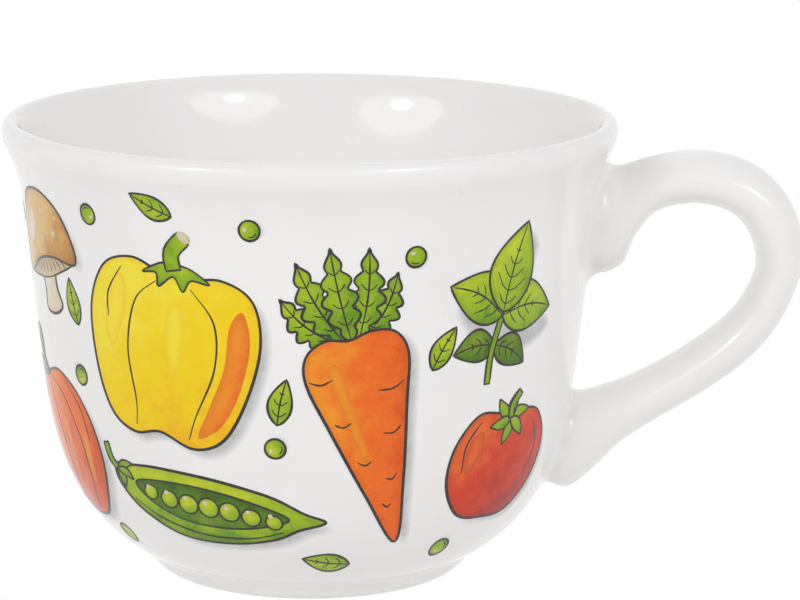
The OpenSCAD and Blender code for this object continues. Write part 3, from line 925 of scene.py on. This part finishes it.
def pepper(p):
    outline = [
        (0, -0.46), (0.2, -0.5), (0.36, -0.42), (0.46, -0.2), (0.5, 0.06), (0.44, 0.26),
        (0.28, 0.33), (0.1, 0.3), (-0.06, 0.31), (-0.24, 0.34), (-0.42, 0.26), (-0.5, 0.04),
        (-0.44, -0.24), (-0.32, -0.44), (-0.16, -0.5),
    ]
    cast_shadow(p, outline)
    body(p, yellow, outline, (-0.5, 0.5), 0.55)
    p.fill(orange, [
        (0.22, -0.44), (0.34, -0.36), (0.42, -0.18), (0.45, 0.05), (0.4, 0.2), (0.34, 0.12),
        (0.33, -0.08), (0.27, -0.28),
    ], (-0.3, 0.2), 0.85, reach=WARM_SIDE_REACH, lift=PATCH_LIFT)
    highlight(p, yellow, [(-0.36, 0.2), (-0.28, 0.24), (-0.26, 0.08), (-0.33, -0.12), (-0.39, -0.02)])
    highlight(p, yellow, [(0, 0.14), (0.08, 0.16), (0.1, 0), (0.06, -0.18), (0, -0.04)])
    p.stroke([(-0.08, 0.26), (-0.2, 0.14), (-0.23, -0.1), (-0.16, -0.34), (-0.15, -0.46)])
    p.stroke([(0.12, 0.26), (0.26, 0.12), (0.28, -0.1), (0.2, -0.34), (0.17, -0.46)])
    p.stroke([(-0.3, 0.28), (-0.38, 0.14), (-0.37, 0.02)])
    p.level = 2
    body(p, green, [
        (-0.16, 0.29), (-0.06, 0.35), (0.02, 0.36), (0.12, 0.35), (0.22, 0.3), (0.12, 0.3),
        (0.08, 0.24), (0.02, 0.3), (-0.06, 0.24), (-0.08, 0.3),
    ], (0, 0.6), 0.5, FINE_LINE)
    p.level = 3
    stalk(p, green, [(0.02, 0.33), (0, 0.41), (0.06, 0.49)], 3.2)
    p.level = 4
    p.blob(cream, (0.064, 0.495), 1.5, squeeze=0.6, turn=-0.5)


PEA_SIDES = 16


def pea_pod(p):
    outline = [
        (-0.44, 0.24), (-0.36, 0.32), (-0.2, 0.42), (0.05, 0.46), (0.28, 0.38), (0.42, 0.2),
        (0.5, 0.1), (0.4, -0.06), (0.3, -0.26), (0.12, -0.44), (-0.1, -0.5), (-0.3, -0.3), (-0.42, 0),
    ]
    cast_shadow(p, outline)
    body(p, green, outline, (-0.2, 0.7))
    gap = [
        (-0.33, 0.1), (-0.2, 0.24), (0, 0.3), (0.2, 0.25), (0.36, 0.1), (0.28, -0.06),
        (0.12, -0.2), (-0.08, -0.24), (-0.24, -0.12),
    ]
    p.level = 2
    body(p, deep_green, gap, (0, -0.4), 0.5, FINE_LINE)
    p.level = 3
    for k in range(7):
        x = -0.25 + 0.092 * k
        bow = 1 - ((x - 0.02) / 0.33) ** 2
        r = 1.35 + 0.75 * bow
        place = (x, 0.03 + 0.02 * math.sin(5 * k))
        p.blob(green, place, r, 0.75)
        p.trace(p.metres(place) + circle(PEA_SIDES) * r * MM, closed=True)
        p.level = 4
        p.blob(cream, (x - 0.014, 0.1), 0.45, 1.0)
        p.level = 3
    p.level = 2
    stalk(p, green, [(-0.43, 0.2), (-0.47, 0.3), (-0.5, 0.5)], 1.3)
    calyx(p, green, (-0.43, 0.2), 3, 4.2, 1.7, -1.1, 2.4)
    p.stroke([(-0.34, -0.16), (-0.2, -0.32), (0, -0.39), (0.2, -0.3), (0.34, -0.12)])


def pumpkin(p):
    outline = [
        (0, -0.44), (0.16, -0.5), (0.34, -0.46), (0.48, -0.24), (0.5, 0), (0.42, 0.2),
        (0.26, 0.3), (0.08, 0.27), (-0.06, 0.27), (-0.2, 0.31), (-0.4, 0.22), (-0.5, 0),
        (-0.48, -0.24), (-0.34, -0.46), (-0.16, -0.5),
    ]
    cast_shadow(p, outline)
    body(p, orange, outline, (-0.5, 0.5))
    for x in (-0.34, -0.18, 0.02, 0.2, 0.35):
        bow = x * 1.12
        highlight(p, orange, [
            (x * 0.7, 0.18), (x * 0.7 + 0.035, 0.17), (bow + 0.03, 0.02), (bow + 0.02, -0.18),
            (bow * 0.95 - 0.01, -0.3), (bow - 0.015, -0.1), (bow - 0.01, 0.06),
        ], 0.95)
    for x in (-0.27, -0.09, 0.11, 0.28):
        p.stroke([
            (x * 0.35, 0.26), (x * 0.95, 0.17), (x * 1.28, -0.05), (x * 1.22, -0.28), (x * 0.9, -0.46),
        ])
    p.stroke([(-0.3, 0.27), (-0.41, 0.12), (-0.43, -0.06)])
    p.stroke([(0.31, 0.26), (0.42, 0.12), (0.44, -0.06)])
    p.level = 2
    body(p, deep_green, [
        (-0.09, 0.26), (-0.04, 0.31), (-0.05, 0.42), (-0.1, 0.49), (0, 0.5), (0.04, 0.44),
        (0.045, 0.33), (0.1, 0.26), (0.03, 0.24), (-0.03, 0.23),
    ], (-0.4, 0.2), 0.6)
    p.stroke([(-0.01, 0.25), (0, 0.36), (-0.02, 0.47)])


def tomato(p):
    outline = [
        (0, -0.5), (0.28, -0.46), (0.48, -0.2), (0.5, 0.1), (0.34, 0.33), (0.1, 0.36),
        (-0.1, 0.34), (-0.34, 0.33), (-0.5, 0.08), (-0.48, -0.22), (-0.28, -0.46),
    ]
    cast_shadow(p, outline)
    body(p, red, outline, (-0.5, 0.55))
    highlight(p, red, [(-0.36, 0.14), (-0.26, 0.2), (-0.24, 0.05), (-0.32, -0.14), (-0.38, -0.02)])
    p.stroke([(-0.3, 0.28), (-0.4, 0.1), (-0.38, -0.12)])
    p.stroke([(0.3, 0.26), (0.4, 0.06), (0.36, -0.18)])
    p.level = 2
    calyx(p, green, (0, 0.3), 6, 5.6, 2.4, 0.3)
    p.level = 4
    stalk(p, green, [(0, 0.3), (0, 0.4), (0.07, 0.5)], 1.5)


def basil(p):
    cast_shadow(p, [
        (-0.06, -0.3), (0.3, -0.2), (0.48, -0.04), (0.3, 0.08), (0.16, 0.2), (0.14, 0.42),
        (0, 0.5), (-0.14, 0.42), (-0.18, 0.2), (-0.34, 0.1), (-0.48, -0.04), (-0.3, -0.2),
    ])
    leaf(p, deep_green, (0, -0.26), (0.34, -0.34), 6.5, 0.8, veins=4, shade=0.6)
    leaf(p, deep_green, (0, -0.26), (-0.32, -0.36), 6.5, -0.8, veins=4, shade=0.6)
    p.level = 2
    stalk(p, green, [(0.03, -0.5), (-0.01, -0.3), (0, -0.05)], 1.3)
    p.level = 3
    leaf(p, green, (0, -0.08), (0.5, 0.02), 10, 1.4, veins=5)
    leaf(p, green, (0, -0.08), (-0.5, 0.04), 10, -1.4, veins=5)
    p.level = 4
    leaf(p, green, (0, -0.06), (0.02, 0.5), 11.5, 0.5, veins=6, shade=0.6)


FLORET_WAVES = 9
FLORET_WAVE_SHARE = 0.055
BUDS = 7
BUD_TURN = 2.4
BUD_REACH_SHARE = 0.55
BUD_R = 0.85


def broccoli(p):
    crown = [
        (-0.1, -0.1), (0.1, -0.12), (0.3, -0.18), (0.46, -0.06), (0.5, 0.12), (0.42, 0.28),
        (0.28, 0.4), (0.12, 0.48), (-0.1, 0.5), (-0.28, 0.42), (-0.42, 0.3), (-0.5, 0.1),
        (-0.44, -0.08), (-0.28, -0.18),
    ]
    cast_shadow(p, crown)
    stem = [
        (-0.13, -0.46), (0, -0.5), (0.13, -0.46), (0.12, -0.3), (0.18, -0.16), (0.32, -0.04),
        (0.1, 0.06), (-0.1, 0.06), (-0.32, -0.05), (-0.17, -0.16), (-0.11, -0.3),
    ]
    body(p, green, stem, (-0.5, 0.1), 0.85)
    p.stroke([(-0.03, -0.44), (-0.04, -0.25), (-0.12, -0.08)])
    p.stroke([(0.05, -0.4), (0.04, -0.22), (0.12, -0.08)])
    heads = [
        (2, -0.16, 0.33, 5.7), (2, 0.17, 0.32, 5.7), (3, -0.33, 0.17, 5.9), (3, 0.01, 0.18, 6.2),
        (3, 0.34, 0.16, 5.9), (4, -0.35, 0, 5.2), (4, -0.02, -0.02, 5.9), (4, 0.33, -0.02, 5.4),
    ]
    for k, (level, x, y, r) in enumerate(heads):
        p.level = level
        wavy = r * (1 + FLORET_WAVE_SHARE * np.cos(FLORET_WAVES * TURNS + k))
        loop = p.metres((x, y)) + circle(SECTION_SIDES) * wavy[:, None] * MM
        p.region(deep_green, loop, (-0.4, 0.6), 0.55)
        p.trace(loop, EDGE_LINE, closed=True)
        reach = BUD_REACH_SHARE * r * MM
        for j in range(BUDS):
            turn = BUD_TURN * j + k
            spot = (x + reach * math.cos(turn) / p.w, y + reach * math.sin(turn) / p.h)
            p.blob(green, spot, BUD_R)
            arc = np.linspace(0.2, 2.6, 5)
            p.trace(p.metres(spot) + np.column_stack([np.cos(arc), np.sin(arc)]) * MM, FINE_LINE * 0.8)


def mushroom(p):
    cap = [
        (-0.46, -0.14), (-0.2, -0.07), (0, -0.05), (0.2, -0.07), (0.46, -0.14), (0.5, 0),
        (0.4, 0.28), (0.2, 0.45), (-0.02, 0.5), (-0.22, 0.46), (-0.42, 0.27), (-0.5, 0),
    ]
    cast_shadow(p, cap)
    body(p, cream, [
        (-0.12, -0.1), (-0.12, -0.3), (-0.15, -0.45), (0, -0.5), (0.15, -0.45), (0.12, -0.3),
        (0.13, -0.1), (0, -0.06),
    ], (-0.5, 0.2), 0.75)
    p.level = 2
    body(p, cream, [
        (-0.44, -0.13), (-0.2, -0.19), (0, -0.21), (0.2, -0.19), (0.44, -0.13), (0.2, -0.06),
        (-0.2, -0.06),
    ], (0, -0.3), 0.2, FINE_LINE)
    for k in range(9):
        x = -0.32 + 0.08 * k
        p.stroke([(x * 0.7, -0.07), (x * 0.95, -0.13), (x, -0.17)], FINE_LINE * 0.7)
    p.level = 3
    body(p, brown, cap, (-0.45, 0.6), 0.85)
    highlight(p, cream, [(-0.28, 0.22), (-0.16, 0.34), (-0.1, 0.26), (-0.22, 0.1), (-0.32, 0.1)], 0.8)
    for x, y, r in ((0.1, 0.3, 0.7), (0.24, 0.12, 0.9), (0.02, 0.1, 0.6), (0.32, 0.24, 0.5)):
        p.blob(cream, (x, y), r, 0.6, 0.7)


def onion(p):
    outline = both_sides([
        (0, -0.44), (0.2, -0.4), (0.42, -0.24), (0.5, -0.04), (0.38, 0.15), (0.16, 0.27),
        (0.07, 0.38), (0.08, 0.5), (0, 0.45),
    ])
    cast_shadow(p, outline)
    body(p, brown, outline, (-0.5, 0.4), 0.6)
    highlight(p, yellow, [(-0.3, 0.08), (-0.2, 0.12), (-0.2, -0.06), (-0.26, -0.22), (-0.36, -0.1)])
    for x in (-0.4, -0.25, -0.09, 0.08, 0.24, 0.39):
        p.stroke([
            (x * 0.12, 0.34), (x * 0.45, 0.22), (x, -0.02), (x * 0.85, -0.25), (x * 0.2, -0.42),
        ])
    for k in range(6):
        x = -0.1 + 0.04 * k
        p.stroke([(x * 0.5, -0.43), (x * 0.9, -0.46), (x * 1.5, -0.5)], FINE_LINE * 0.9)


def radish(p):
    root = both_sides([
        (0, -0.5), (0.04, -0.36), (0.2, -0.27), (0.42, -0.17), (0.48, -0.04), (0.34, 0.08), (0.1, 0.13),
    ])
    cast_shadow(p, root)
    leaf(p, green, (0.06, 0.1), (0.44, 0.42), 8, -1, lobes=4, veins=3, shade=0.5, depth=0.4)
    leaf(p, green, (-0.06, 0.1), (-0.42, 0.44), 8, 1, lobes=4, veins=3, shade=0.5, depth=0.4)
    p.level = 2
    leaf(p, green, (0, 0.1), (-0.02, 0.5), 8, 0.5, lobes=4, veins=4, shade=0.6, depth=0.4)
    p.level = 3
    body(p, pink, root, (-0.5, 0.5), 0.4)
    p.fill(cream, [(0, -0.48), (0.03, -0.36), (0.14, -0.28), (0, -0.25), (-0.14, -0.28), (-0.03, -0.36)],
           (0, 0), 1.0, reach=ROOT_TIP_REACH, lift=PATCH_LIFT)
    highlight(p, pink, [(-0.32, 0), (-0.2, 0.05), (-0.18, -0.06), (-0.26, -0.14), (-0.36, -0.08)], 1.1)
    p.stroke([(0.3, -0.2), (0.16, -0.25), (0.06, -0.3)])


def corn(p):
    cob = both_sides([
        (0, -0.4), (0.2, -0.34), (0.32, -0.1), (0.33, 0.12), (0.26, 0.32), (0.12, 0.46), (0, 0.5),
    ])
    cast_shadow(p, cob)
    body(p, yellow, cob, (-0.5, 0.3), 0.55)
    loop = p.metres(closed_curve(cob))
    rows, columns = 17, 6
    kernel_w, kernel_h = 1.15, 0.95
    clear = 0.9 * MM
    for row in range(rows):
        y = -0.34 + 0.8 * (row + 0.5) / rows
        half = 0.33 * math.sqrt(max(0, 1 - (abs(y - 0.02) / 0.52) ** 2.4))
        for column in range(columns):
            u = (column + 0.5 + 0.5 * (row % 2)) / columns * 2 - 1
            x = half * math.sin(u * 1.35)
            place = p.metres([(x, y)])
            if not inside_loop(place, loop)[0] or loop_distance(place, loop)[0] < clear:
                continue
            squeeze = max(0.35, math.cos(u * 1.3))
            a = np.linspace(-0.4, math.pi + 0.4, 6)
            arc = place[0] + np.column_stack([np.cos(a) * kernel_w * squeeze, np.sin(a) * kernel_h]) * MM
            p.trace(arc, FINE_LINE * 0.75)
    p.level = 2
    body(p, green, [
        (0.02, -0.49), (0.2, -0.46), (0.4, -0.3), (0.5, -0.04), (0.46, 0.12), (0.34, 0.02),
        (0.22, -0.14), (0.1, -0.3),
    ], (0.4, 0.3), 0.5)
    body(p, green, [
        (-0.02, -0.49), (-0.2, -0.46), (-0.4, -0.3), (-0.5, -0.06), (-0.44, 0.1), (-0.32, 0),
        (-0.2, -0.16), (-0.08, -0.3),
    ], (-0.4, 0.3), 0.6)
    p.level = 3
    body(p, green, [
        (0, -0.5), (0.13, -0.42), (0.16, -0.26), (0.06, -0.1), (-0.02, -0.02), (-0.08, -0.14),
        (-0.16, -0.28), (-0.13, -0.42),
    ], (-0.2, 0.5), 0.7)
    for side in (-1, 1):
        p.stroke([(side * 0.08, -0.45), (side * 0.28, -0.28), (side * 0.42, -0.04)])
        p.stroke([(side * 0.04, -0.44), (side * 0.06, -0.3), (side * 0.01, -0.12)])


def chilli(p):
    outline = [
        (-0.5, -0.14), (-0.4, -0.33), (-0.2, -0.47), (0, -0.5), (0.18, -0.42), (0.3, -0.2),
        (0.38, 0), (0.34, 0.2), (0.24, 0.18), (0.12, 0.06), (0, 0), (-0.24, -0.06), (-0.42, -0.1),
    ]
    cast_shadow(p, outline)
    body(p, red, outline, (-0.1, 0.8))
    highlight(p, red, [
        (-0.3, -0.16), (-0.1, -0.14), (0.1, -0.06), (0.2, 0.04), (0.08, -0.12), (-0.1, -0.22),
    ], 1.05)
    p.level = 2
    body(p, green, [
        (0.24, 0.2), (0.3, 0.05), (0.36, -0.06), (0.42, 0.06), (0.44, 0.2), (0.38, 0.32), (0.3, 0.32),
    ], (-0.3, 0.4), 0.5, FINE_LINE)
    p.level = 3
    stalk(p, green, [(0.37, 0.2), (0.43, 0.34), (0.5, 0.5)], 1.6)


LOOSE_PEA_R = 0.032 * RIM_R
LOOSE_PEA_SIDES = 24
LOOSE_PEA_SHADOW_GROWTH = 1.15
LOOSE_PEA_SHADOW_STEP = (0.7 * MM, -0.5 * MM)
LOOSE_PEA_SHADOW_REACH = 1.6 * MM
GLINT_SIDES = slice(15, 21)


def loose_peas(p):
    ring = circle(LOOSE_PEA_SIDES) * LOOSE_PEA_R
    shadow = ring * LOOSE_PEA_SHADOW_GROWTH + LOOSE_PEA_SHADOW_STEP
    p.region(grey_wash, shadow, reach=LOOSE_PEA_SHADOW_REACH)
    p.level = 1
    p.region(green, ring, (-0.4, 0.5), 0.6)
    p.trace(ring, EDGE_LINE, closed=True)
    p.blob(cream, (-0.16, 0.17), 0.45, 1.0, 0.7)
    p.trace(ring[GLINT_SIDES] * 0.66, FINE_LINE * 0.8)


def loose_leaves(p):
    leaf(p, green, (0, -0.5), (0, 0.5), 4.6, 0.3, veins=3, shade=0.6)


# The layout on the wall. A place is an angle round the mug, a share of the bowl's height and a tilt.

PEA_TURN_STEP = 40
PEA_SPOTS = [
    (-64, 0.8), (-95, 0.86), (-91, 0.4), (-50, 0.14), (-138, 0.5), (-130, 0.86),
    (-168, 0.8), (-137, 0.14), (-196, 0.28), (-212, 0.8), (-248, 0.37), (-262, 0.82),
    (-296, 0.3), (-300, 0.8),
]
PEA_PLACES = [(angle, share, PEA_TURN_STEP * k) for k, (angle, share) in enumerate(PEA_SPOTS)]
LEAF_PLACES = [
    (-89.5, 0.5, -12), (-57, 0.6, -30), (-80, 0.13, 80), (-114, 0.9, 65), (-138, 0.66, 12),
    (-188, 0.16, 70), (-217, 0.68, 20), (-236, 0.13, 60), (-296, 0.6, 20), (-318, 0.9, 75),
]

# Each drawing has its width and height, as shares of the rim's radius and the bowl's height.
DRAWINGS = [
    (carrot, (0.387, 0.67), [(-73, 0.5, 14)], "print_orange"),
    (pepper, (0.6, 0.45), [(-113, 0.62, -8)], "print_yellow"),
    (pea_pod, (0.742, 0.162), [(-108, 0.25, -8)], "print_green"),
    (pumpkin, (0.71, 0.4), [(-160, 0.36, 4)], "print_orange"),
    (tomato, (0.42, 0.28), [(-39, 0.34, -6), (42, 0.34, -6)], "print_red"),
    (basil, (0.452, 0.346), [(-43, 0.68, -14), (42, 0.68, 16)], "print_green"),
    (broccoli, (0.597, 0.454), [(-190, 0.62, 6)], "print_green"),
    (mushroom, (0.419, 0.27), [(-149, 0.75, 12)], "print_cream"),
    (onion, (0.452, 0.4), [(-240, 0.66, -10)], "print_yellow"),
    (radish, (0.371, 0.454), [(-218, 0.36, -12)], "print_pink"),
    (corn, (0.371, 0.518), [(-276, 0.6, 16)], "print_yellow"),
    (chilli, (0.71, 0.173), [(-256, 0.22, 8)], "print_red"),
    (loose_peas, (0.064, 0.043), PEA_PLACES, "print_green"),
    (loose_leaves, (0.075, 0.1), LEAF_PLACES, "print_green"),
]

for draw, size_shares, places, slot in DRAWINGS:
    drawing = Print(size_shares, places)
    draw(drawing)
    drawing.build(draw.__name__ + "_print", draw.__name__ + "_transfer")


# Camera, lamps and floor

FLOOR_R = 6.0
FLOOR_SIDES = 96
FLOOR_WHITE = 0.97
FLOOR_GLOW = 0.133
BAND_LIGHT = 2.07
BAND_STOPS = [(0.25, BLACK), (0.5, WHITE), (0.75, grey(0.145))]
MIDDLE = Vector((0, 0, 0.05))
LAMP_DISTANCE = 1.3
LAMP_GAP = 0.02

# Each part of an umbrella has a name, a width and height, a drop and a glow. Each umbrella has a direction.
UMBRELLA_PARTS = [("shade", (0.84, 0.4), 0.06, 2.0), ("heart", (0.2, 0.14), 0, 5)]
LAMPS = [("right_umbrella", (0.558, -0.637, 0.485)), ("left_umbrella", (-0.519, -0.708, 0.417))]

CAMERA_DISTANCE = 602.7 * MM
CAMERA_HEIGHT = 183.9 * MM
CAMERA_FOCAL = 135.69
CAMERA_SENSOR = 36
CAMERA_CLIP = 0.05
HANDLE_TURN = math.radians(6)
CAMERA_DIP = math.radians(12.14)
CAMERA_SHIFT = 0.1126


def build_camera():
    """A long lens in front of the mug, a little to the handle's side, that looks down on it."""
    data = bpy.data.cameras.new("camera")
    data.lens = CAMERA_FOCAL
    data.sensor_width = CAMERA_SENSOR
    data.shift_x = CAMERA_SHIFT
    data.clip_start = CAMERA_CLIP
    camera = bpy.data.objects.new("camera", data)
    place = Vector((math.sin(HANDLE_TURN), -math.cos(HANDLE_TURN), 0)) * CAMERA_DISTANCE
    place.z = CAMERA_HEIGHT
    turn = Euler((math.pi / 2 - CAMERA_DIP, 0, HANDLE_TURN)).to_matrix().to_4x4()
    camera.matrix_world = Matrix.Translation(place) @ turn
    scene.collection.objects.link(camera)
    scene.camera = camera


def white_where_seen(nodes, lit, kind, share, output):
    """Mixes white over what is lit, for rays from the camera, straight or by gloss or glass."""
    path = nodes.add("ShaderNodeLightPath").outputs
    seen = nodes.math("MAXIMUM", path["Is Camera Ray"], path["Is Glossy Ray"])
    seen = nodes.math("MAXIMUM", seen, path["Is Transmission Ray"])
    white = nodes.add(kind, {"Color": WHITE, "Strength": 1.0}).outputs[0]
    mix = nodes.add("ShaderNodeMixShader", {0: nodes.math("MULTIPLY", seen, share), 1: lit, 2: white})
    nodes.put(nodes.tree.nodes[output].inputs["Surface"], mix.outputs[0])


def build_floor():
    """A wide pale floor that keeps the mug's shadow."""
    nodes = new_nodes("pale_floor")
    nodes.set(Base_Color=grey(0.8), Roughness=1.0, Emission_Color=WHITE, Emission_Strength=FLOOR_GLOW)
    nodes.shader.inputs["Specular IOR Level"].default_value = 0
    white_where_seen(nodes, nodes.shader.outputs[0], "ShaderNodeEmission", FLOOR_WHITE, "Material Output")
    verts = [(x, y, 0) for x, y in circle(FLOOR_SIDES) * FLOOR_R]
    mesh = bpy.data.meshes.new("floor")
    mesh.from_pydata(verts, [], [tuple(range(len(verts)))])
    mesh.materials.append(nodes.owner)
    floor = bpy.data.objects.new("floor", mesh)
    scene.collection.objects.link(floor)


def build_sky():
    """A dome with a band of light round it, and plain white where it is seen."""
    nodes = Nodes(bpy.data.worlds.new("studio"))
    scene.world = nodes.owner
    ahead = nodes.add("ShaderNodeTexCoord").outputs["Generated"]
    height = nodes.add("ShaderNodeSeparateXYZ", {0: ahead}).outputs["Z"]
    band = nodes.math("MULTIPLY", nodes.ramp(height, BAND_STOPS), BAND_LIGHT)
    dome = nodes.add("ShaderNodeBackground", {"Color": WHITE, "Strength": band}).outputs[0]
    white_where_seen(nodes, dome, "ShaderNodeBackground", 1.0, "World Output")


def soft_lamp(name, place, size, glow):
    """An oval lamp that faces the mug, of a brightness where the dome is about one."""
    data = bpy.data.lights.new(name, "AREA")
    data.shape = "ELLIPSE"
    data.size, data.size_y = size
    data.energy = glow * math.pi * (math.pi / 4 * size[0] * size[1])
    lamp = bpy.data.objects.new(name, data)
    lamp.location = place
    lamp.rotation_euler = (MIDDLE - place).to_track_quat("-Z", "Y").to_euler()
    scene.collection.objects.link(lamp)


build_camera()
build_sky()
build_floor()
for name, ahead in LAMPS:
    for step, (part, size, drop, glow) in enumerate(UMBRELLA_PARTS):
        place = MIDDLE + Vector(ahead) * (LAMP_DISTANCE - step * LAMP_GAP) - Vector((0, 0, drop))
        soft_lamp(name + "_" + part, place, size, glow)

scene.view_settings.view_transform = "Standard"
